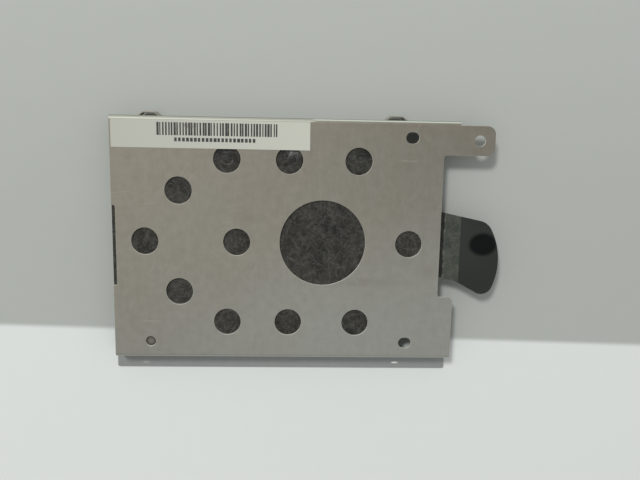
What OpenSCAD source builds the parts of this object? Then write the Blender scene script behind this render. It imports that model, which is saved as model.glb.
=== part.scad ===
// Hard drive bracket: a shallow folded sheet metal tray that carries one 2.5 inch drive,
// a fibre sheet that insulates the drive's board from the tray, a film pull tab and a label.
// Laid flat: outer face up, flange edge and foot down on z = 0, connector end at +X. All in mm.
// The parts are drawn about the middle of the drive's four bottom holes, and then set so that
// the origin is the middle of the whole part.

/* [Drive] */
// width of the drive that sits between the flanges
drive_w = 69.85; // [69:0.05:71]
// length of the drive
drive_len = 100.2; // [100:0.1:101]
// distance between the two rows of bottom holes, along Y
hole_span_y = 61.72; // [55:0.01:65]
// distance from the connector end of the drive to its nearest bottom holes
hole_to_connector = 14; // [9:0.1:20]
// distance from the closed end of the drive to its nearest bottom holes
hole_to_end = 9.6; // [5:0.1:20]

/* [Sheet] */
// thickness of the metal sheet
sheet_t = 0.6; // [0.4:0.05:1.2]
// inside radius of the two long bends
bend_r = 0.5; // [0.2:0.1:2]
// clearance on each side between drive and flange
side_gap = 0.275; // [0:0.025:1]
// height of the tray from the flange edges to the outer face
tray_h = 7.5; // [7:0.1:15]
// how far the foot of the -Y flange reaches outwards
foot_reach = 5.5; // [2:0.1:12]
// how far the foot runs on past the sheet's closed end
foot_over = 1.3; // [0:0.1:3]
// rounding of the free corners of the flange and the foot
flange_corner_r = 0.5; // [0.2:0.1:2]
// how far the sheet reaches past the closed end of the drive
end_lip = 0.95; // [0:0.05:3]

/* [Finger notch in the left edge] */
// depth of the notch, down to the end of the drive
notch_depth = 1.1; // [0:0.1:4]
// lower end of the notch along Y
notch_y0 = -13.75; // [-30:0.05:0]
// upper end of the notch along Y
notch_y1 = 10; // [0:0.05:30]
// rounding of the notch's inner corners
notch_r = 0.5; // [0.1:0.1:2]

/* [Connector cut-out in the right edge] */
// depth of the cut-out from the connector end of the drive
cut_depth = 4.6; // [1:0.1:10]
// length of the cut-out along Y
cut_len = 42.4; // [20:0.1:60]
// distance of the cut-out's middle from the centre line
cut_shift = 4.8; // [-10:0.1:10]
// rounding of the cut-out's inner corners
cut_r = 0.8; // [0.2:0.1:3]
// rounding of the lower tab's free corner
tab_corner_r = 1.6; // [0.2:0.1:4]

/* [Ear] */
// how far the ear reaches past the connector end
ear_reach = 10.3; // [5:0.1:20]
// rounding of the ear's two free corners
ear_r = 2.5; // [0.5:0.1:4]
// distance from the ear's free end to the screw hole
ear_hole_inset = 4.5; // [3:0.1:10]
// diameter of the ear's screw hole
ear_hole_d = 3.2; // [2:0.1:5]

/* [Screw slots and locating pips] */
// length of each screw slot along X
slot_len = 3.9; // [3:0.1:6]
// width of each screw slot
slot_w = 3.3; // [3:0.1:5]
// diameter of each locating pip's recess in the outer face
pip_d = 3.1; // [2:0.1:4]
// depth that each pip is pushed through the sheet
pip_depth = 0.45; // [0.1:0.05:0.5]
// how much narrower the pip is than its recess
pip_shrink = 0.3; // [0:0.05:1]

/* [Air holes] */
// diameter of the small air holes
vent_d = 8; // [4:0.1:12]
// diameter of the large air hole
big_vent_d = 25.4; // [15:0.1:40]
// position of the large air hole along X
big_vent_x = 12.7; // [0:0.1:25]
// shift of the whole pattern of air holes along Y
vent_shift = -0.4; // [-2:0.1:2]
// distance of the outer rows from the middle row
vent_row = 24.2; // [15:0.1:26]
// holes of the outer rows, along X from the large air hole
row_cols = [-28.1, -10, 10.2];
// holes of the middle row, along X from the large air hole
mid_cols = [-52.1, -25.3, 25.6];
// distance of the stepped pair from the middle row
vent_step = 15; // [10:0.1:20]
// stepped pair, along X from the large air hole
step_col = -42.2; // [-45:0.1:-30]

/* [Bridges on the +Y flange] */
// height of each bridge above the flange
bridge_h = 1.25; // [0.5:0.05:3]
// length of each bridge at its feet
bridge_base = 6.8; // [4:0.1:12]
// length of the flat top of each bridge
bridge_flat = 3.6; // [1:0.1:8]
// width of each bridge, across the flange
bridge_w = 3; // [1:0.1:6]
// thickness of the drawn strap
bridge_t = 0.45; // [0.2:0.05:1]
// distance of the bridges' middle from the outer face
bridge_drop = 5.2; // [4:0.1:6]
// distance between the two bridges
bridge_span = 72.3; // [40:0.1:90]

/* [Insulator] */
// thickness of the fibre sheet
felt_t = 0.25; // [0.1:0.05:1]
// distance from the fibre sheet to the flanges
felt_gap = 1; // [0.5:0.1:4]
// distance from the fibre sheet to the cut-out's edge
felt_back = 0.7; // [0:0.1:5]
// rounding of the fibre sheet's corners
felt_r = 2; // [0.5:0.1:5]
// clearance hole in the fibre sheet at each screw slot
felt_slot_d = 5; // [4:0.1:8]
// clearance hole in the fibre sheet at each pip
felt_pip_d = 4; // [3:0.1:8]
// how far the fibre tongue reaches past the cut-out's edge
tongue_reach = 6.2; // [2:0.1:12]

/* [Pull tab] */
// thickness of the film
film_t = 0.2; // [0.1:0.05:0.5]
// length of film glued under the fibre sheet
film_lap = 12; // [4:0.5:25]
// half width of the tab where it leaves the tray
tab_half = 9.85; // [6:0.05:14]
// middle of the tab along Y where it leaves the tray
tab_mid = -0.5; // [-10:0.1:10]
// how far the tab leans towards -Y, in degrees
tab_lean = 11.8; // [0:0.1:30]
// distance past the cut-out's edge where the lower edge starts to flare
tab_turn = 5; // [0:0.1:8]
// extra slant of the lower edge from there on, in degrees
tab_flare = 17; // [0:0.5:30]
// radius of the tab's wide end arc
tab_end_r = 20.4; // [14:0.1:40]
// middle of the end arc along Y
tab_end_y = -5.6; // [-12:0.1:2]
// radius of the tab's upper round corner
tab_r1 = 5; // [1:0.1:8]
// radius of the tab's lower round corner
tab_r2 = 3.4; // [1:0.1:6]
// how far the tab reaches past the cut-out's edge
tab_reach = 18.1; // [10:0.1:30]

/* [Label] */
// length of the label
label_len = 56.9; // [30:0.1:80]
// width of the label
label_w = 8; // [4:0.1:20]
// thickness of the label
label_t = 0.1; // [0.05:0.05:0.3]
// distance of the label from the tray's left edge
label_inset = 0.5; // [0:0.1:5]

/* [Hidden] */
$fa = 4;
$fs = 0.25;

hole_x = (drive_len - hole_to_connector - hole_to_end) / 2;
hole_y = hole_span_y / 2;
tray_x1 = hole_x + hole_to_connector;
tray_x0 = tray_x1 - drive_len - end_lip;
inner_y = drive_w / 2 + side_gap;
outer_y = inner_y + sheet_t;
bend_out = bend_r + sheet_t;
flat_y = outer_y - bend_out;
plate_z = tray_h - sheet_t;
bend_z = tray_h - bend_out;

cut_x = tray_x1 - cut_depth;
cut_y0 = cut_shift - cut_len / 2;
cut_y1 = cut_shift + cut_len / 2;
ear_x = tray_x1 + ear_reach;
ear_y = (flat_y + cut_y1) / 2;

bridge_x = [-hole_x, bridge_span - hole_x];
felt_y = inner_y - felt_gap;
felt_x1 = cut_x - felt_back;
tongue_x = cut_x + tongue_reach;
foot_x0 = tray_x0 - foot_over;
mid_x = (foot_x0 + cut_x + tab_reach) / 2;
foot_y = outer_y + foot_reach;
mid_y = (outer_y + bridge_h - foot_y) / 2;
bridge_slant = atan2(bridge_h, (bridge_base - bridge_flat) / 2);
window_half = bridge_base / 2 - bridge_t / sin(bridge_slant);

// Sets a part from the drive's middle to the middle of the whole.
module place() {
    translate([-mid_x, -mid_y, 0]) children();
}

// A rectangle from corner (x0, y0) to corner (x1, y1).
module span(x0, y0, x1, y1) {
    translate([x0, y0]) square([x1 - x0, y1 - y0]);
}

// A rectangle with all four corners rounded to radius r.
module round_span(x0, y0, x1, y1, r) {
    span(x0 + r, y0, x1 - r, y1);
    span(x0, y0 + r, x1, y1 - r);
    for (x = [x0 + r, x1 - r], y = [y0 + r, y1 - r])
        translate([x, y]) circle(r = r);
}

// A slot of length l and width w along X.
module slot(l, w) {
    square([l - w, w], center = true);
    for (s = [-1, 1]) translate([s * (l - w) / 2, 0]) circle(d = w);
}

// The flat of the tray, between the two long bends.
module flat() {
    translate([tray_x0, -flat_y, plate_z])
        cube([tray_x1 - tray_x0, 2 * flat_y, sheet_t]);
}

// A quarter bend from x0 on about the line (y, z), drawn in Y and Z and turned by an angle.
module bend(x0, y, z, angle) {
    translate([x0, y, z])
        rotate([90, 0, 90])
            linear_extrude(tray_x1 - x0)
                rotate(angle)
                    intersection() {
                        difference() {
                            circle(r = bend_out);
                            circle(r = bend_r);
                        }
                        square(2 * bend_out);
                    }
}

// The ear: the flat runs on past the flange end beside the connector.
module ear() {
    translate([0, 0, plate_z])
        linear_extrude(sheet_t)
            round_span(tray_x1 - 3 * ear_r, cut_y1, ear_x, flat_y, ear_r);
}

// All that is punched out of the flat, as seen from above.
module punched() {
    translate([big_vent_x, vent_shift]) {
        circle(d = big_vent_d);
        for (x = row_cols, s = [-1, 1])
            translate([x, s * vent_row]) circle(d = vent_d);
        for (x = mid_cols)
            translate([x, 0]) circle(d = vent_d);
        for (s = [-1, 1])
            translate([step_col, s * vent_step]) circle(d = vent_d);
    }

    for (s = [-1, 1])
        translate([hole_x, s * hole_y]) slot(slot_len, slot_w);
    translate([ear_x - ear_hole_inset, ear_y]) circle(d = ear_hole_d);

    round_span(tray_x0 - 3, notch_y0, tray_x0 + notch_depth, notch_y1, notch_r);
    round_span(cut_x, cut_y0, ear_x + 3, cut_y1, cut_r);
    difference() {
        span(tray_x1 - tab_corner_r, cut_y0 - tab_corner_r, tray_x1 + 1, cut_y0 + 1);
        translate([tray_x1 - tab_corner_r, cut_y0 - tab_corner_r])
            circle(r = tab_corner_r);
    }
}

// Two corners to cut away along a free edge on y = 0, from x0 to the connector end.
module free_corners(x0) {
    r = flange_corner_r;
    for (e = [[x0, 1], [tray_x1, -1]])
        translate([e[0], 0])
            difference() {
                span(min(-0.5, e[1] * r), -1, max(0.5, e[1] * r), r);
                translate([e[1] * r, r]) circle(r = r);
            }
}

// One bridge on the +Y flange: the strap stays joined at both feet.
module bridge() {
    b = bridge_base / 2;
    f = bridge_flat / 2;
    h = bridge_h;
    t = bridge_t;
    inner_f = f - t * tan(bridge_slant / 2);
    translate([0, outer_y, tray_h - bridge_drop - bridge_w / 2])
        linear_extrude(bridge_w)
            polygon([
                [-b, -sheet_t], [-b, 0], [-f, h], [f, h], [b, 0], [b, -sheet_t],
                [window_half, -sheet_t], [window_half, 0], [inner_f, h - t],
                [-inner_f, h - t], [-window_half, 0], [-window_half, -sheet_t]
            ]);
}

// The window that the strap of one bridge was drawn from.
module bridge_window() {
    translate([-window_half, inner_y - 1, tray_h - bridge_drop - bridge_w / 2])
        cube([2 * window_half, sheet_t + 2, bridge_w]);
}

// The side on +Y: a square flange with its two bridges.
module bridged_side() {
    bend(tray_x0, flat_y, bend_z, 0);
    difference() {
        translate([tray_x0, inner_y, 0])
            cube([tray_x1 - tray_x0, sheet_t, bend_z]);
        translate([0, outer_y + 1, 0])
            rotate([90, 0, 0])
                linear_extrude(sheet_t + 2) free_corners(tray_x0);
        for (x = bridge_x) translate([x, 0, 0]) bridge_window();
    }
    for (x = bridge_x) translate([x, 0, 0]) bridge();
}

// The side on -Y, drawn on +Y: a square flange that turns outwards into a flat foot.
module footed_side() {
    bend(tray_x0, flat_y, bend_z, 0);
    translate([0, outer_y, 0])
        rotate([90, 0, 0])
            linear_extrude(sheet_t)
                polygon([[tray_x0, bend_z], [foot_x0, bend_out], [tray_x1, bend_out],
                    [tray_x1, bend_z]]);
    bend(foot_x0, outer_y + bend_r, bend_out, 180);
    difference() {
        translate([foot_x0, outer_y + bend_r, 0])
            cube([tray_x1 - foot_x0, foot_reach - bend_r, sheet_t]);
        translate([0, foot_y, -1])
            linear_extrude(sheet_t + 2) mirror([0, 1]) free_corners(foot_x0);
    }
}

// A pip pushed inwards: the recess above, and the boss below that enters the drive.
module pips() {
    for (s = [-1, 1])
        translate([-hole_x, s * hole_y, plate_z - pip_depth])
            cylinder(d = pip_d - pip_shrink, h = pip_depth + 0.1);
}

module pip_recesses() {
    for (s = [-1, 1])
        translate([-hole_x, s * hole_y, tray_h - pip_depth])
            cylinder(d = pip_d, h = 1);
}

// The whole tray, one folded sheet.
module tray() {
    color([0.55, 0.55, 0.50])
    place() union() {
        difference() {
            union() {
                flat();
                ear();
                pips();
            }
            translate([0, 0, plate_z - 1]) linear_extrude(sheet_t + 2) punched();
            pip_recesses();
        }
        bridged_side();
        mirror([0, 1, 0]) footed_side();
    }
}

// Points on an arc of radius r about centre c, from angle a0 to angle a1.
function arc(c, r, a0, a1) =
    let (n = max(3, ceil(abs(a1 - a0) / 3)))
    [for (i = [0:n]) c + r * [cos(a0 + (a1 - a0) * i / n), sin(a0 + (a1 - a0) * i / n)]];

// Centre of a corner circle of radius r inside the edge that starts at p and runs along d
// with its inner side towards n, and touching the end arc (centre e, radius big) from inside.
function corner_centre(p, d, n, r, e, big) =
    let (q = p + n * r - e, k = q * d)
    e + q + d * (sqrt(k * k - q * q + (big - r) * (big - r)) - k);

// Outline of the pull tab from x0 on: two slanted edges, two round corners, a wide end arc.
module tab_outline(x0) {
    low_slant = tab_lean + tab_flare;
    top = [cut_x, tab_mid + tab_half];
    low = [cut_x, tab_mid - tab_half];
    turn = low + tab_turn * [1, -tan(tab_lean)];
    end_c = [cut_x + tab_reach - tab_end_r, tab_end_y];

    c1 = corner_centre(top, [cos(tab_lean), -sin(tab_lean)],
        [-sin(tab_lean), -cos(tab_lean)], tab_r1, end_c, tab_end_r);
    c2 = corner_centre(turn, [cos(low_slant), -sin(low_slant)],
        [sin(low_slant), cos(low_slant)], tab_r2, end_c, tab_end_r);
    a1 = atan2(c1[1] - end_c[1], c1[0] - end_c[0]);
    a2 = atan2(c2[1] - end_c[1], c2[0] - end_c[0]);

    polygon(concat(
        [top + (x0 - cut_x) * [1, -tan(tab_lean)]],
        arc(c1, tab_r1, 90 - tab_lean, a1),
        arc(end_c, tab_end_r, a1 - 1, a2 + 1),
        arc(c2, tab_r2, a2, -90 - low_slant),
        [turn, low + (x0 - cut_x) * [1, -tan(tab_lean)]]
    ));
}

// The fibre sheet's tongue: the pull tab's outline as far as tongue_x.
module tongue() {
    intersection() {
        tab_outline(cut_x - film_lap);
        span(cut_x - film_lap - 1, -felt_y, tongue_x, felt_y);
    }
}

// The fibre sheet under the flat, with its tongue out through the cut-out.
module insulator() {
    color([0.17, 0.17, 0.18])
    place() difference() {
        translate([0, 0, plate_z - felt_t]) union() {
            linear_extrude(felt_t)
                round_span(tray_x0, -felt_y, felt_x1, felt_y, felt_r);
            linear_extrude(felt_t) tongue();
        }
        for (s = [-1, 1]) {
            translate([hole_x, s * hole_y, 0]) cylinder(d = felt_slot_d, h = tray_h);
            translate([-hole_x, s * hole_y, 0]) cylinder(d = felt_pip_d, h = tray_h);
        }
    }
}

// The film tab, glued under the fibre sheet and its tongue.
module pull_tab() {
    color([0.10, 0.11, 0.10])
    place()
        translate([0, 0, plate_z - felt_t - film_t])
        linear_extrude(film_t)
            tab_outline(cut_x - film_lap);
}

// The paper label along the upper left edge of the outer face.
module label() {
    color([0.80, 0.80, 0.77])
    place()
        translate([tray_x0 + label_inset, flat_y - label_w, tray_h])
        linear_extrude(label_t)
            square([label_len, label_w]);
}

tray();
insulator();
pull_tab();
label();
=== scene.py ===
"""Dresses the hard drive bracket: dull rolled steel, a fibre sheet, a glossy film tab and a
paper label with plain printed bars, on a pale floor under soft light."""
import math

import bpy
import numpy as np
from bpy.props import (
    BoolProperty, FloatProperty, FloatVectorProperty, IntProperty, PointerProperty,
)
from mathutils import Euler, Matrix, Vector


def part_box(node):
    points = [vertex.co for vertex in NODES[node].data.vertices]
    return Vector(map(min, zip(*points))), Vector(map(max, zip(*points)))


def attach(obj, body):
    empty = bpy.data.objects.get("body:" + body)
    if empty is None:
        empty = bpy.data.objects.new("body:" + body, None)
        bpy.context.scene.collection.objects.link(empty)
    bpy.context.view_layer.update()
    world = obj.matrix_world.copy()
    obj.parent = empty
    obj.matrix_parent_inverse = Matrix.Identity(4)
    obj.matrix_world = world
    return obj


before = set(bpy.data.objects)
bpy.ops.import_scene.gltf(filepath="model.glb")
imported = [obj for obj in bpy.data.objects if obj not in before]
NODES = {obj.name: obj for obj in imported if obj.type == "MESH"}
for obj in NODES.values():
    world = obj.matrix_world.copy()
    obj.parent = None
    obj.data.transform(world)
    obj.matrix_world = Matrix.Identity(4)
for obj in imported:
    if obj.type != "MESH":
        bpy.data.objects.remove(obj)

bl_info = {
    "name": "Hard Drive Bracket Look",
    "version": (1, 0, 0),
    "blender": (4, 5, 0),
    "location": "3D View > Sidebar > Bracket",
    "description": "Finishes, printed bars, fibres and stage for a hard drive bracket",
    "category": "Object",
}

TRAY_LO, TRAY_HI = (np.array(c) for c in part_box("tray"))
FELT_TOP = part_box("insulator")[1][2]
LABEL_LO, LABEL_HI = (np.array(c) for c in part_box("label"))
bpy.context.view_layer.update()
MM = 0.001

# The middle of the drive's four bottom holes in the row's frame, in millimetres: the foot's
# left end and the upper bridges stand at known distances from it.
LEFT_END = -50.15
UPPER_BRIDGES = 37.05
MIDDLE = np.array([TRAY_LO[0] / MM - LEFT_END, TRAY_HI[1] / MM - UPPER_BRIDGES])
FACE = TRAY_HI[2]
# Places read from the photo, in millimetres about that middle.
WITNESS_RIGHT = MIDDLE + (37.7, 24.2)
WITNESS_LEFT = MIDDLE + (-37.8, -24.65)
CUT_EDGE = MIDDLE[0] + 47.7
RUB_RING = MIDDLE + (-15.4, 24.0)
SHEEN = MIDDLE + (3.3, 25.6)
FILM_REFLECTION = MIDDLE + (60.9, -0.3)
# the drive's bottom holes, between centres along and across
HOLE_SPAN = (76.6, 61.72)
PIPS = [MIDDLE + (-HOLE_SPAN[0] / 2, side * HOLE_SPAN[1] / 2) for side in (1, -1)]
# how far from the middle the painted highlight of the two long bends starts
BEND_REACH = 35.15
BEND = (MIDDLE[1] - BEND_REACH, MIDDLE[1] + BEND_REACH)
# the two painted highlights on the foot: place and strength
GLINTS = ((MIDDLE + (36.6, -39.6), 0.85), (MIDDLE + (-41.4, -39.9), 0.18))
# smudges: place, reach and how many times longer than wide
SMUDGES = ((MIDDLE + (-9.3, 6.6), 2.4, 1.4), (MIDDLE + (-43.6, 24.5), 2.2, 1.0),
           (MIDDLE + (22.0, -12.1), 2.0, 12.0), (MIDDLE + (44.5, -9.0), 3.0, 1.3))
VENT_ROWS = [(x, y) for x in (-15.4, 2.7, 22.9) for y in (23.8, -24.6)]
VENTS = VENT_ROWS + [(-39.4, -0.4), (-12.6, -0.4), (38.3, -0.4), (-29.5, 14.6), (-29.5, -15.4)]
BIG_VENT = (12.7, -0.4)
# where loose fibres lie: middle, reach and share of them all
FIBRE_PATCHES = (
    [(*(MIDDLE + BIG_VENT), 11.6, 0.46), (CUT_EDGE + 2.9, MIDDLE[1] - 1.0, 2.4, 0.10)]
    + [(*(MIDDLE + vent), 3.0, 0.04) for vent in VENTS]
)
FIBRE_RADIUS = 0.015
FIBRE_SEED = 7
# left, right, top and bottom of the printed blocks, from the label's upper left corner
BARS = (12.96, 47.79, 0.72, 4.38)
BAR_PITCH = 0.81
MARKS = (18.0, 41.5, 5.0, 6.1)
MARK_PITCH = 1.119
SMEAR = (22.0, 1.6)
# the floor's change of tone into painted shade: where it starts and ends along Y, and its rise
# along X
HORIZON = (-29.6, -27.6)
HORIZON_SLOPE = 0.025

BLACK = (0.0, 0.0, 0.0, 1.0)
WHITE = (1.0, 1.0, 1.0, 1.0)
SMUDGE_BROWN = (0.11, 0.075, 0.05, 1.0)
FOOT_SHADE_BLUE = (0.29, 0.33, 0.36, 1.0)
GLINT_WHITE = (0.95, 0.95, 0.93, 1.0)
BEND_HIGHLIGHT = (0.76, 0.84, 0.74, 1.0)
SHEEN_GREY = (0.30, 0.31, 0.30, 1.0)
RING_GREY = (0.25, 0.25, 0.24, 1.0)
TONGUE_LIT_GREEN = (0.13, 0.17, 0.13, 1.0)
REFLECTION_BLACK = (0.010, 0.011, 0.011, 1.0)
SMEAR_BROWN = (0.10, 0.09, 0.07, 1.0)
GRAIN_GREY = (0.2, 0.2, 0.22, 1.0)

# where the fitted camera stands, from the middle of the drive's holes and the outer face
CAMERA_PLACE = (*((MIDDLE + (4.65, 30.48)) * MM), FACE + 186.69 * MM)
CAMERA_TURN = (-9.14, -2.06, 1.11)
SENSOR_WIDTH = 36.0
LENS = 36.0
LAMP_DIRECTION = (-0.30, 0.49, 0.82)


class Field:
    """One value in a material's nodes. Arithmetic on it adds the Math nodes."""

    def __init__(self, finish, socket):
        self.finish = finish
        self.socket = socket

    def _math(self, operation, *values):
        return self.finish.add("ShaderNodeMath", {"operation": operation}, dict(enumerate(values)))

    def __add__(self, other):
        return self._math("ADD", self, other)

    def __sub__(self, other):
        return self._math("SUBTRACT", self, other)

    def __rsub__(self, other):
        return self._math("SUBTRACT", other, self)

    def __mul__(self, other):
        return self._math("MULTIPLY", self, other)

    def __truediv__(self, other):
        return self._math("DIVIDE", self, other)

    def __abs__(self):
        return self._math("ABSOLUTE", self)

    def __gt__(self, other):
        return self._math("GREATER_THAN", self, other)

    def __lt__(self, other):
        return self._math("LESS_THAN", self, other)

    def floor(self):
        return self._math("FLOOR", self)

    def fract(self):
        return self._math("FRACT", self)

    def smaller(self, other):
        return self._math("MINIMUM", self, other)

    def larger(self, other):
        return self._math("MAXIMUM", self, other)

    def step(self, low, high):
        """0 below low, 1 above high and a smooth rise between them."""
        return self.finish.add(
            "ShaderNodeMapRange", {"interpolation_type": "SMOOTHSTEP", "clamp": True},
            {"Value": self, "From Min": low, "From Max": high, "To Min": 0.0, "To Max": 1.0},
        )


class Finish:
    """A material whose nodes are added by short calls and expressions."""

    def __init__(self, name):
        self.material = bpy.data.materials.new(name)
        self.material.use_nodes = True
        self.tree = self.material.node_tree
        self.tree.nodes.clear()
        coordinates = self.tree.nodes.new("ShaderNodeTexCoord")
        self.position = Field(self, coordinates.outputs["Object"])

    def add(self, kind, settings=None, inputs=None, output=0):
        """Adds a node: its settings first, then the values or links of its sockets."""
        node = self.tree.nodes.new(kind)
        for name, value in (settings or {}).items():
            setattr(node, name, value)
        for name, value in (inputs or {}).items():
            if isinstance(value, Field):
                self.tree.links.new(value.socket, node.inputs[name])
            else:
                node.inputs[name].default_value = value
        return Field(self, node.outputs[output])

    def axes(self, vector=None):
        """The three components of a vector, by default of the position on the piece."""
        split = self.tree.nodes.new("ShaderNodeSeparateXYZ")
        self.tree.links.new((vector or self.position).socket, split.inputs[0])
        return [Field(self, socket) for socket in split.outputs]

    def vector(self, x, y, z=0.0):
        return self.add("ShaderNodeCombineXYZ", None, {0: x, 1: y, 2: z})

    def distance(self, x, y, long=1.0):
        """Distance in plan from the point (x, y), with X divided by long."""
        place_x, place_y, _ = self.axes()
        return self.add("ShaderNodeVectorMath", {"operation": "LENGTH"},
                        {0: self.vector((place_x - x) / long, place_y - y)}, output="Value")

    def turned(self, degrees, stretch, offset=0.0):
        """The position moved by offset, turned about Z and squeezed along its own X."""
        return self.add(
            "ShaderNodeMapping", {"vector_type": "TEXTURE"},
            {"Vector": self.position, "Location": (offset, offset * 0.7, 0.0),
             "Rotation": (0.0, 0.0, math.radians(degrees)), "Scale": (stretch, 1.0, 1.0)},
        )

    def noise(self, scale, detail=3.0, roughness=0.5, vector=None, distortion=0.0):
        return self.add(
            "ShaderNodeTexNoise", {"noise_dimensions": "3D"},
            {"Vector": vector or self.position, "Scale": scale, "Detail": detail,
             "Roughness": roughness, "Distortion": distortion},
        )

    def mix(self, factor, first, second):
        """Colour first where factor is 0 and colour second where it is 1."""
        return self.add(
            "ShaderNodeMix", {"data_type": "RGBA"}, {0: factor, 6: first, 7: second}, output=2)

    def bump(self, height, strength, distance, normal=None):
        inputs = {"Height": height, "Strength": strength, "Distance": distance}
        if normal is not None:
            inputs["Normal"] = normal
        return self.add("ShaderNodeBump", None, inputs)

    def surface(self, **inputs):
        """Ends the material in one Principled surface. Names have _ for spaces."""
        shader = self.add(
            "ShaderNodeBsdfPrincipled", None,
            {name.replace("_", " "): value for name, value in inputs.items()})
        out = self.tree.nodes.new("ShaderNodeOutputMaterial")
        self.tree.links.new(shader.socket, out.inputs["Surface"])
        return self.material


def rgba(colour):
    return (*colour[:3], 1.0)


def shade(colour, factor):
    """The same colour, lighter or darker."""
    return (*(min(1.0, c * factor) for c in colour[:3]), 1.0)


class BracketFinishes(bpy.types.PropertyGroup):
    """Colours and strengths of the bracket's finishes."""

    steel_warm: FloatVectorProperty(
        name="Steel, warm", description="Warm tone of the bare sheet", subtype="COLOR",
        size=3, min=0.0, max=1.0, default=(0.263, 0.239, 0.186))
    steel_cool: FloatVectorProperty(
        name="Steel, cool", description="Cool tone of the bare sheet", subtype="COLOR",
        size=3, min=0.0, max=1.0, default=(0.276, 0.280, 0.247))
    steel_roughness: FloatProperty(
        name="Steel roughness", description="Dullness of the rolled sheet", subtype="FACTOR",
        min=0.0, max=1.0, default=0.54)
    felt: FloatVectorProperty(
        name="Fibre sheet", description="Ground colour of the fibre sheet", subtype="COLOR",
        size=3, min=0.0, max=1.0, default=(0.028, 0.027, 0.023))
    fibre: FloatVectorProperty(
        name="Pale fibres", description="Colour of the pale fibres in the sheet",
        subtype="COLOR", size=3, min=0.0, max=1.0, default=(0.115, 0.115, 0.104))
    film: FloatVectorProperty(
        name="Film", description="Colour of the film tab", subtype="COLOR",
        size=3, min=0.0, max=1.0, default=(0.0085, 0.0115, 0.0075))
    paper: FloatVectorProperty(
        name="Paper", description="Colour of the label", subtype="COLOR",
        size=3, min=0.0, max=1.0, default=(0.418, 0.424, 0.368))
    ink: FloatVectorProperty(
        name="Ink", description="Colour of the printed bars", subtype="COLOR",
        size=3, min=0.0, max=1.0, default=(0.012, 0.012, 0.014))
    fibre_count: IntProperty(
        name="Fibres", description="Number of single fibres that stand on the sheet",
        min=0, max=4000, default=2200)


class BracketStage(bpy.types.PropertyGroup):
    """Floor, light and camera."""

    floor_near: FloatVectorProperty(
        name="Floor, near", description="Floor colour at the lower edge of the picture",
        subtype="COLOR", size=3, min=0.0, max=1.0, default=(0.69, 0.72, 0.70))
    floor_far_shaded: FloatVectorProperty(
        name="Floor, far", description="Floor colour at the upper edge of the picture",
        subtype="COLOR", size=3, min=0.0, max=1.0, default=(0.40, 0.42, 0.39))
    world_strength: FloatProperty(
        name="Room light", description="Even light from all sides", min=0.0, max=2.0,
        default=0.53)
    glossy_strength: FloatProperty(
        name="Room in reflections", description="Brightness of the room that metal shows",
        min=0.0, max=2.0, default=0.60)
    key_power: FloatProperty(
        name="Key light", description="Power of the soft lamp", unit="POWER",
        min=0.0, max=50.0, default=14.6)
    key_distance: FloatProperty(
        name="Lamp distance", description="Distance of the soft lamp", unit="LENGTH",
        min=0.2, max=3.0, default=1.6)
    key_size: FloatProperty(
        name="Lamp size", description="Side of the soft lamp", unit="LENGTH",
        min=0.01, max=1.0, default=0.26)
    show_horizon: BoolProperty(
        name="Horizon", description="Tone change across the floor", default=True)


def steel_ground(steel, look, cloud, grey):
    """The broad change from warm to cool tone, painted shade that makes it darker toward the upper
    edge and at the lower left, and a fine mottle."""
    x, y, _ = steel.axes()
    along = x / (TRAY_HI[0] * 2.0) + 0.5
    down = 0.5 - y / (TRAY_HI[1] * 2.0)
    tone = (cloud - 0.5) * 0.7 + down * 0.75 + along * 0.25
    colour = steel.mix(tone.step(0.1, 0.9), rgba(look.steel_warm), rgba(look.steel_cool))
    # painted shade: darker toward the upper edge, more so to the right, and at the lower left
    corner = along.step(0.30, 1.0) * (1.0 - down).step(0.15, 1.0)
    upper = (1.0 - down).step(0.1, 0.9)
    low_left = down.step(0.2, 0.9) * (1.0 - along.step(0.0, 0.6))
    dark = corner * 0.08 + upper * (along * 0.10 + 0.17) + low_left * 0.11
    colour = steel.mix(dark, colour, shade(look.steel_warm, 0.1))
    return steel.mix(
        (grey + 0.5).step(0.2, 0.8), steel.mix(0.06, colour, BLACK),
        steel.mix(0.035, colour, WHITE))


def hairlines(steel):
    """Hairline scratches in three directions, in patches."""
    hair = 0.0
    for degrees, offset in ((8.0, 0.11), (-41.0, 0.47), (63.0, 0.83)):
        line = steel.noise(1500.0, 1.0, 0.3, steel.turned(degrees, 45.0, offset))
        patch = steel.noise(60.0, 2.0, 0.5, steel.turned(degrees, 1.0, offset * 3.0))
        hair = line.step(0.70, 0.78) * patch.step(0.52, 0.64) + hair
    return hair


def smudges(steel, mottle):
    """Brownish smudges, and one long faint scuff across the lower half."""
    smudge = 0.0
    for (place_x, place_y), size, long in SMUDGES:
        reach = steel.distance(place_x * MM, place_y * MM, long)
        smudge = (1.0 - reach.step(0.2 * size * MM, size * MM)) * mottle.step(0.35, 0.65) + smudge
    return smudge.smaller(1.0)


def witness_lines(steel):
    """The two short pale lines, near the upper screw slot and near the lower pip."""
    x, y, z = steel.axes()
    lines = 0.0
    for (line_x, line_y), half in ((WITNESS_RIGHT, 2.1), (WITNESS_LEFT, 2.4)):
        span = 1.0 - abs(x - line_x * MM).step(half * MM, (half + 0.4) * MM)
        width = 1.0 - abs(y - line_y * MM).step(0.06 * MM, 0.24 * MM)
        lines = span * width * z.step(FACE - 0.1 * MM, FACE - 0.05 * MM) + lines
    return lines


def paint_pip_shade(steel, look, colour):
    """Painted shade in the pressed recesses: darker over their bottom and darkest in a ring at the
    rim.
    """
    z = steel.axes()[2]
    for pip_x, pip_y in PIPS:
        reach = steel.distance(pip_x * MM, pip_y * MM)
        # painted shade inside each recess, deepest at its rim
        recess = ((1.0 - reach.step(1.45 * MM, 1.7 * MM))
                  * (1.0 - z.step(FACE - 0.4 * MM, FACE - 0.05 * MM)))
        depth = reach.step(0.3 * MM, 1.5 * MM) * 0.50 + 0.42
        colour = steel.mix(recess * depth, colour, shade(look.steel_warm, 0.12))
    return colour


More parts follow.
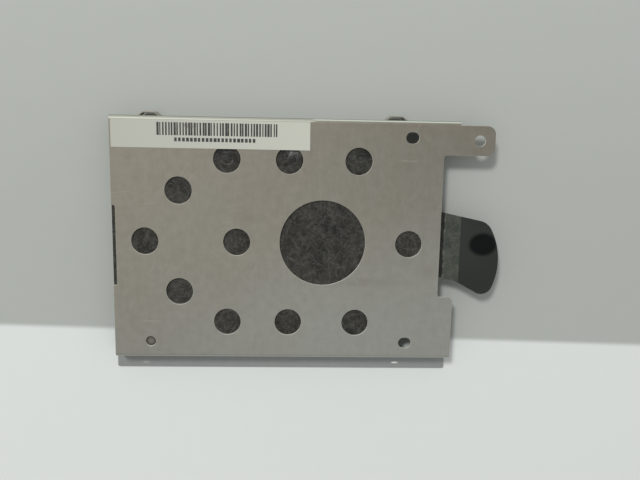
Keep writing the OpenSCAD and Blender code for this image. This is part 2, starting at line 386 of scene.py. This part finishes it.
def paint_foot_shade_and_glints(steel, colour):
    """The foot is painted a little bluer, its tone in shade, and has two small painted highlights.
    """
    z = steel.axes()[2]
    below = 1.0 - z.step(0.3 * FACE, 0.4 * FACE)
    # painted shade tint: the foot is mixed toward a bluer tone
    colour = steel.mix(below * 0.35, colour, FOOT_SHADE_BLUE)
    # two small painted highlights on the foot
    for (mark_x, mark_y), bright in GLINTS:
        reach = steel.distance(mark_x * MM, mark_y * MM, 3.6)
        spot = (1.0 - reach.step(0.15 * MM, 0.42 * MM)) * (1.0 - z.step(0.5 * FACE, 0.6 * FACE))
        colour = steel.mix(spot * bright, colour, GLINT_WHITE)
    return colour


def paint_edge_highlights(steel, look, colour, rounded):
    """Painted highlights: a pale line along both long bends, and pale sheared edges and hole
    walls.
    """
    x, y, z = steel.axes()
    beyond = x.step(LABEL_HI[0], LABEL_HI[0] + 2.0 * MM)
    above = y.step(LABEL_HI[1], LABEL_HI[1] + 0.15 * MM) * (1.0 - beyond)
    # painted highlight along both long bends
    bent = y.step(BEND[1] * MM, (BEND[1] + 0.3) * MM)
    top_bend = (bent * (beyond * 0.45 + 0.40)).larger(above * 0.30)
    low_bend = (1.0 - y.step((BEND[0] - 0.3) * MM, BEND[0] * MM)) * 0.30
    high = z.step(FACE - 0.8 * MM, FACE - 0.3 * MM)
    bends = top_bend + low_bend
    colour = steel.mix(bends * high, colour, BEND_HIGHLIGHT)

    # painted highlight: sheared edges and hole walls are mixed toward a pale tone
    true_normal = steel.add("ShaderNodeNewGeometry", None, {}, output="True Normal")
    facing = steel.add("ShaderNodeVectorMath", {"operation": "DOT_PRODUCT"},
                       {0: rounded, 1: true_normal}, output="Value")
    upright = 1.0 - abs(steel.axes(true_normal)[2]).step(0.2, 0.6)
    wall_highlight = upright * high * (1.0 - bends.step(0.0, 0.1))
    edge = ((1.0 - facing).step(0.01, 0.20) * 0.5).larger(wall_highlight * 0.85)
    return steel.mix(edge, colour, shade(look.steel_cool, 3.2))


def steel_finish(look):
    """Bare rolled sheet: a broad change of tone with painted shade, fine rolling grain, small rubs
    and hairlines, painted shade in the pressed recesses, a painted shade tint and glints on the
    foot, and painted highlights on the bends, sheared edges and hole walls."""
    steel = Finish("rolled_steel")
    cloud = steel.noise(28.0, 3.0, 0.55)
    mottle = steel.noise(420.0, 4.0, 0.6)
    grain = steel.noise(900.0, 3.0, 0.6, steel.turned(90.0, 5.0))
    rubs = steel.noise(85.0, 4.0, 0.65, steel.turned(18.0, 2.4, 0.3)).step(0.66, 0.80)
    hair = hairlines(steel)
    lines = witness_lines(steel)
    rounded = steel.add("ShaderNodeBevel", {"samples": 8}, {"Radius": 0.22 * MM})

    colour = steel_ground(steel, look, cloud, (mottle - 0.5) * 0.7 + (grain - 0.5) * 0.3)
    colour = steel.mix(rubs * 0.22, colour, shade(look.steel_warm, 0.4))
    colour = steel.mix((hair * 0.18).smaller(0.4), colour, shade(look.steel_cool, 1.5))
    colour = steel.mix(smudges(steel, mottle) * 0.24, colour, SMUDGE_BROWN)
    colour = steel.mix(lines * 0.22, colour, shade(look.steel_cool, 1.6))
    colour = paint_pip_shade(steel, look, colour)
    colour = paint_foot_shade_and_glints(steel, colour)
    colour = paint_edge_highlights(steel, look, colour, rounded)

    height = grain * 0.5 + mottle * 0.5 - hair * 0.5 - lines
    return steel.surface(
        Base_Color=colour,
        Metallic=0.45,
        Roughness=(mottle - 0.5) * 0.10 + (cloud - 0.5) * 0.10 + rubs * 0.1
        + look.steel_roughness,
        Normal=steel.bump(height, 0.14, 0.02 * MM, rounded),
    )


def fibre_mask(felt, scale, stretch, width, count, seed):
    """Thin curved strands in many directions: lines where stretched noise crosses its middle,
    kept only where a second noise is high."""
    strands = 0.0
    for index in range(count):
        turn = 180.0 * index / count + 17.0 * seed
        offset = 0.13 * index + 0.31 * seed
        place = felt.turned(turn, stretch, offset)
        line = abs(felt.noise(scale, 1.5, 0.4, place, 0.4) - 0.5)
        keep = felt.noise(scale * 1.3, 2.0, 0.5, felt.turned(turn, stretch * 0.5, offset + 0.5))
        strands = ((1.0 - line.step(0.0, width)) * keep.step(0.5, 0.6)).larger(strands)
    return strands


def felt_finish(look):
    """Non-woven fibre sheet: dark ground, cloudy density and pale strands in all directions.
    The tongue that sticks out is painted paler for the light it lies in, with a painted shadow
    where it leaves the tray and a paler line beside that."""
    felt = Finish("fibre_sheet")
    x = felt.axes()[0]
    fine = fibre_mask(felt, 700.0, 5.0, 0.05, 6, 0.0)
    coarse = fibre_mask(felt, 260.0, 7.0, 0.02, 4, 1.0)
    cloud = felt.noise(240.0, 4.0, 0.65)
    speck = felt.noise(1500.0, 3.0, 0.6)
    ground = felt.mix(cloud.step(0.3, 0.7), shade(look.felt, 0.55), shade(look.felt, 1.5))
    colour = felt.mix(fine * 0.34, ground, rgba(look.fibre))
    colour = felt.mix(coarse * 0.22, colour, rgba(look.fibre))
    colour = felt.mix(speck.step(0.55, 0.75) * 0.35, colour, shade(look.felt, 0.3))

    # fibres that lie flat and catch the light in one of the upper air holes
    reach = felt.distance(SHEEN[0] * MM, SHEEN[1] * MM, 1.3)
    sheen = (1.0 - reach.step(0.6 * MM, 2.6 * MM)) * (fine * 0.7 + cloud.step(0.45, 0.62) * 0.5)
    colour = felt.mix(sheen.smaller(1.0) * 0.6, colour, SHEEN_GREY)
    reach = felt.distance(RUB_RING[0] * MM, RUB_RING[1] * MM)
    ring = 1.0 - abs(reach - 1.75 * MM).step(0.05 * MM, 0.40 * MM)
    colour = felt.mix(ring * cloud.step(0.35, 0.6) * 0.35, colour, RING_GREY)

    leave = CUT_EDGE * MM
    # painted light: the tongue beyond the tray's edge is mixed toward a paler green
    pale = x.step(leave, leave + 1.2 * MM)
    colour = felt.mix(pale * 0.20, colour, TONGUE_LIT_GREEN)
    # painted shadow along the tray's edge where the tongue leaves it, and a paler line beside it
    wave = felt.noise(700.0, 2.0, 0.5)
    waver = (wave - 0.5) * 0.9 * MM
    edge_shadow = 1.0 - abs(x + waver - (leave + 0.65 * MM)).step(0.35 * MM, 0.7 * MM)
    pale_line = 1.0 - abs(x + waver - (leave + 1.45 * MM)).step(0.08 * MM, 0.22 * MM)
    colour = felt.mix(edge_shadow * 0.85, colour, shade(look.felt, 0.3))
    colour = felt.mix(pale_line * wave.step(0.35, 0.6) * 0.35, colour, shade(look.fibre, 1.8))
    return felt.surface(
        Base_Color=colour,
        Roughness=(cloud - 0.5) * 0.1 + 0.9,
        Specular_IOR_Level=0.25,
        Normal=felt.bump(fine * 0.6 + coarse + cloud * 0.7, 0.7, 0.09 * MM),
    )


def film_finish(look):
    """Smooth dark film with a slow wave in its gloss, darker toward its lower end, and one round,
    dark painted reflection.
    """
    film = Finish("dark_film")
    y = film.axes()[1]
    wave = film.noise(40.0, 2.0, 0.4)
    haze = film.noise(500.0, 4.0, 0.6)
    colour = film.mix(wave.step(0.35, 0.65), shade(look.film, 0.75), shade(look.film, 1.35))
    low_end = 1.0 - (y / MM).step(MIDDLE[1] - 15.0, MIDDLE[1] - 1.0)
    colour = film.mix(low_end * 0.45, colour, shade(look.film, 0.45))
    # a round dark painted reflection, made partly metallic as well
    spot = 1.0 - film.distance(FILM_REFLECTION[0] * MM, FILM_REFLECTION[1] * MM, 1.22).step(2.7 * MM, 4.1 * MM)
    colour = film.mix(spot * 0.92, colour, REFLECTION_BLACK)
    return film.surface(
        Base_Color=colour,
        Metallic=spot * 0.9,
        Roughness=haze * 0.14 + 0.16,
        Normal=film.bump(wave + haze * 0.02, 0.25, 1.0 * MM),
    )


def label_finish(look):
    """Paper with a block of upright bars of uneven width, a row of small solid blocks below
    it and a faint smear over some of the bars."""
    paper = Finish("printed_paper")
    x, y, z = paper.axes()
    left, top = LABEL_LO[0], LABEL_HI[1]

    def drawn(place, seed):
        """A number from 0 to 1, drawn anew for each whole step of place."""
        return paper.add("ShaderNodeTexWhiteNoise", {"noise_dimensions": "1D"},
                         {"W": place.floor() + seed})

    def within(value, low, high):
        return (value > low) * (value < high)

    u = (x - left) / MM
    v = (top - y) / MM
    cell = u / BAR_PITCH
    start = drawn(cell, 5.0) * 0.28
    end = start + drawn(cell, 3.0) * 0.50 + 0.40
    inside = (cell.fract() > start) * (end > cell.fract())
    bars = inside * within(u, BARS[0], BARS[1]) * within(v, BARS[2], BARS[3])
    mark = u / MARK_PITCH
    edge = drawn(mark, 11.0) * 0.22 + 0.70
    marks = ((mark.fract() > 0.10) * (edge > mark.fract())
             * within(v, MARKS[2], MARKS[3]) * within(u, MARKS[0], MARKS[1]))
    ink = (bars + marks).smaller(1.0)
    pulp = paper.noise(900.0, 4.0, 0.6)
    reach = paper.distance(left + SMEAR[0] * MM, top - SMEAR[1] * MM, 5.0)
    smear = (1.0 - reach.step(0.2 * MM, 0.9 * MM)) * pulp.step(0.42, 0.56)
    tint = paper.noise(35.0, 2.0, 0.5)
    across = (x - left) / (LABEL_HI[0] - LABEL_LO[0])
    sheet = paper.mix(tint * 0.3 + across * 0.8, rgba(look.paper), shade(look.paper, 1.24))
    worn = ink * (pulp * 0.25 + 0.82).smaller(1.0)
    facing_up = z.step(LABEL_LO[2] + 0.05 * MM, LABEL_LO[2] + 0.09 * MM)
    return paper.surface(
        Base_Color=paper.mix(
            smear * 0.55 * facing_up, paper.mix(worn * facing_up, sheet, rgba(look.ink)),
            SMEAR_BROWN),
        Roughness=0.62 - ink * 0.15,
        Specular_IOR_Level=0.35,
        Normal=paper.bump(pulp, 0.08, 0.02 * MM),
    )


def wear(name, material):
    """Puts one finish on a solid of the frame."""
    node = NODES[name]
    if not node.material_slots:
        node.data.materials.append(None)
    for slot in node.material_slots:
        slot.material = material


def strand_tubes(starts, headings, lengths, bends, radius, rise, steps=7, sides=4):
    """Thin tubes along shallow arcs. Along t from 0 to 1 a strand's heading turns evenly by
    its bend, so its path is the running sum of equal steps; its height over the sheet is
    rise * sin(pi t). The ring around the path is (cos a, sin a) in the plane across the
    heading, times a radius that falls to 0.35 of itself at both ends. All strands and rings
    are worked out as one array."""
    count = len(starts)
    t = np.linspace(0.0, 1.0, steps)
    angle = headings[:, None] + bends[:, None] * (t[None, :] - 0.5)
    stride = lengths[:, None] / (steps - 1)
    path_x = starts[:, 0, None] + np.cumsum(np.cos(angle) * stride, axis=1)
    path_y = starts[:, 1, None] + np.cumsum(np.sin(angle) * stride, axis=1)
    path_z = starts[:, 2, None] + rise[:, None] * np.sin(np.pi * t)[None, :]
    path = np.stack([path_x, path_y, path_z], axis=-1)
    across = np.stack([-np.sin(angle), np.cos(angle), np.zeros_like(angle)], axis=-1)
    up = np.array([0.0, 0.0, 1.0])
    turn = 2.0 * np.pi * np.arange(sides) / sides
    taper = radius * (0.35 + 0.65 * np.sin(np.pi * t))[None, :, None, None]
    ring = (np.cos(turn)[None, None, :, None] * across[:, :, None, :]
            + np.sin(turn)[None, None, :, None] * up)
    points = (path[:, :, None, :] + taper * ring).reshape(-1, 3)

    strand = np.arange(count)[:, None, None] * steps * sides
    along = np.arange(steps - 1)[None, :, None] * sides
    around = np.arange(sides)[None, None, :]
    beside = (around + 1) % sides
    quads = np.stack([
        strand + along + around, strand + along + beside,
        strand + along + sides + beside, strand + along + sides + around,
    ], axis=-1).reshape(-1, 4)
    first = (strand + around)[:, 0, :][:, ::-1]
    last = (strand + (steps - 1) * sides + around)[:, 0, :]
    return points, quads, np.concatenate([first, last])


def new_piece(name, points, faces, material):
    """A finished piece at the origin, riding on the frame's body."""
    mesh = bpy.data.meshes.new(name)
    mesh.from_pydata(points.tolist(), [], faces)
    mesh.update()
    mesh.materials.append(material)
    piece = bpy.data.objects.new(name, mesh)
    bpy.context.scene.collection.objects.link(piece)
    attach(piece, "root")
    return piece


def loose_fibres(look):
    """Single pale fibres that lie over the fibre sheet in the air holes and on its tongue."""
    draw = np.random.default_rng(FIBRE_SEED)
    count = look.fibre_count
    patches = np.array(FIBRE_PATCHES)
    share = patches[:, 3]
    pick = draw.choice(len(patches), size=count, p=share / share.sum())
    centre = patches[pick, :2]
    reach = patches[pick, 2]
    radius = reach * np.sqrt(draw.random(count))
    turn = draw.random(count) * 2.0 * np.pi
    starts = np.zeros((count, 3))
    starts[:, 0] = centre[:, 0] + radius * np.cos(turn)
    starts[:, 1] = centre[:, 1] + radius * np.sin(turn)
    lengths = np.minimum(0.35 + draw.exponential(0.75, count), reach * 0.45)
    headings = draw.normal(0.0, 0.9, count) + np.pi / 2.0
    starts[:, 0] -= np.cos(headings) * lengths / 2.0
    starts[:, 1] -= np.sin(headings) * lengths / 2.0
    starts[:, 2] = FELT_TOP / MM - 0.01
    points, quads, caps = strand_tubes(
        starts * MM, headings, lengths * MM, draw.normal(0.0, 0.8, count), FIBRE_RADIUS * MM,
        draw.uniform(0.02, 0.12, count) * MM)
    fibre = Finish("pale_fibre")
    tone = fibre.noise(600.0, 2.0, 0.5)
    material = fibre.surface(
        Base_Color=fibre.mix(tone.step(0.4, 0.6), shade(look.fibre, 0.5), shade(look.fibre, 1.2)),
        Roughness=tone * 0.2 + 0.6,
    )
    return new_piece("loose_fibres", points, quads.tolist() + caps.tolist(), material)


class BRACKET_OT_tray(bpy.types.Operator):
    """Gives the tray its bare rolled steel finish"""
    bl_idname = "bracket.tray"
    bl_label = "Finish Tray"

    def execute(self, context):
        wear("tray", steel_finish(context.scene.bracket_finishes))
        return {"FINISHED"}


class BRACKET_OT_insulator(bpy.types.Operator):
    """Gives the fibre sheet its finish and lays single fibres over it"""
    bl_idname = "bracket.insulator"
    bl_label = "Finish Fibre Sheet"

    def execute(self, context):
        look = context.scene.bracket_finishes
        wear("insulator", felt_finish(look))
        if look.fibre_count:
            loose_fibres(look)
        return {"FINISHED"}


class BRACKET_OT_pull_tab(bpy.types.Operator):
    """Gives the film tab its smooth dark finish"""
    bl_idname = "bracket.pull_tab"
    bl_label = "Finish Film Tab"

    def execute(self, context):
        wear("pull_tab", film_finish(context.scene.bracket_finishes))
        return {"FINISHED"}


class BRACKET_OT_label(bpy.types.Operator):
    """Gives the label its paper and its plain printed bars"""
    bl_idname = "bracket.label"
    bl_label = "Finish Label"

    def execute(self, context):
        wear("label", label_finish(context.scene.bracket_finishes))
        return {"FINISHED"}


class BRACKET_OT_stage(bpy.types.Operator):
    """Adds the floor, the soft lamp, the even room light and the camera"""
    bl_idname = "bracket.stage"
    bl_label = "Build Stage"

    def execute(self, context):
        stage = context.scene.bracket_stage
        scene = context.scene
        scene.view_settings.view_transform = "Standard"
        make_floor(stage)
        light_world(scene, stage)
        hang_lamp(scene, stage)
        scene.camera = place_camera(scene)
        return {"FINISHED"}


def make_floor(stage):
    """A wide floor just under the part, paler towards the lower edge of the picture; its darker
    far part is painted shade.
    """
    half = 1.6
    low = TRAY_LO[2] - 0.02 * MM
    mesh = bpy.data.meshes.new("floor")
    mesh.from_pydata([(-half, -half, low), (half, -half, low), (half, half, low),
                      (-half, half, low)], [], [(0, 1, 2, 3)])
    floor = Finish("floor")
    x, y, _ = floor.axes()
    grain = floor.noise(160.0, 4.0, 0.55)
    rise = y.step(-75.0 * MM, 95.0 * MM)
    if stage.show_horizon:
        start, end = HORIZON
        rise = (y + x * HORIZON_SLOPE).step(start * MM, end * MM) - y.step(0.0, 90.0 * MM) * 0.12
    # painted shade: the far floor is darker than the near
    tone = floor.mix(rise, rgba(stage.floor_near), rgba(stage.floor_far_shaded))
    tone = floor.mix(grain * 0.03, tone, GRAIN_GREY)
    mesh.materials.append(floor.surface(Base_Color=tone, Roughness=grain * 0.1 + 0.8))
    piece = bpy.data.objects.new("floor", mesh)
    bpy.context.scene.collection.objects.link(piece)
    return piece


def light_world(scene, stage):
    """Even light of one tone from every side, with its own strength in reflections."""
    world = bpy.data.worlds.new("room")
    world.use_nodes = True
    nodes, links = world.node_tree.nodes, world.node_tree.links
    background = nodes["Background"]
    background.inputs["Color"].default_value = (1.0, 1.0, 1.0, 1.0)
    path = nodes.new("ShaderNodeLightPath")
    strength = nodes.new("ShaderNodeMapRange")
    strength.inputs["To Min"].default_value = stage.world_strength
    strength.inputs["To Max"].default_value = stage.glossy_strength
    links.new(path.outputs["Is Glossy Ray"], strength.inputs["Value"])
    links.new(strength.outputs["Result"], background.inputs["Strength"])
    scene.world = world


def hang_lamp(scene, stage):
    """One soft square lamp beyond the upper edge, to the left."""
    data = bpy.data.lights.new("soft_lamp", "AREA")
    data.shape = "SQUARE"
    data.size = stage.key_size
    data.energy = stage.key_power
    lamp = bpy.data.objects.new("soft_lamp", data)
    direction = Vector(LAMP_DIRECTION).normalized()
    lamp.location = direction * stage.key_distance
    lamp.rotation_euler = direction.to_track_quat("Z", "Y").to_euler()
    scene.collection.objects.link(lamp)


def place_camera(scene):
    """The camera that was fitted to the drive holes and edges in the photo."""
    data = bpy.data.cameras.new("camera")
    data.sensor_width = SENSOR_WIDTH
    data.lens = LENS
    camera = bpy.data.objects.new("camera", data)
    camera.location = CAMERA_PLACE
    camera.rotation_euler = Euler([math.radians(a) for a in CAMERA_TURN])
    scene.collection.objects.link(camera)
    return camera


class BRACKET_PT_panel(bpy.types.Panel):
    """Lists the bracket's steps and settings"""
    bl_idname = "BRACKET_PT_panel"
    bl_label = "Hard Drive Bracket"
    bl_space_type = "VIEW_3D"
    bl_region_type = "UI"
    bl_category = "Bracket"

    def draw(self, context):
        for settings in (context.scene.bracket_finishes, context.scene.bracket_stage):
            for name in settings.__annotations__:
                self.layout.prop(settings, name)
        for operator in OPERATORS:
            self.layout.operator(operator.bl_idname)


OPERATORS = (BRACKET_OT_tray, BRACKET_OT_insulator, BRACKET_OT_pull_tab, BRACKET_OT_label,
             BRACKET_OT_stage)
CLASSES = (BracketFinishes, BracketStage, *OPERATORS, BRACKET_PT_panel)


def register():
    for cls in CLASSES:
        bpy.utils.register_class(cls)
    bpy.types.Scene.bracket_finishes = PointerProperty(type=BracketFinishes)
    bpy.types.Scene.bracket_stage = PointerProperty(type=BracketStage)


def unregister():
    del bpy.types.Scene.bracket_stage
    del bpy.types.Scene.bracket_finishes
    for cls in reversed(CLASSES):
        bpy.utils.unregister_class(cls)


def main():
    register()
    bpy.ops.bracket.tray()
    bpy.ops.bracket.insulator()
    bpy.ops.bracket.pull_tab()
    bpy.ops.bracket.label()
    bpy.ops.bracket.stage()


if __name__ == "__main__":
    main()
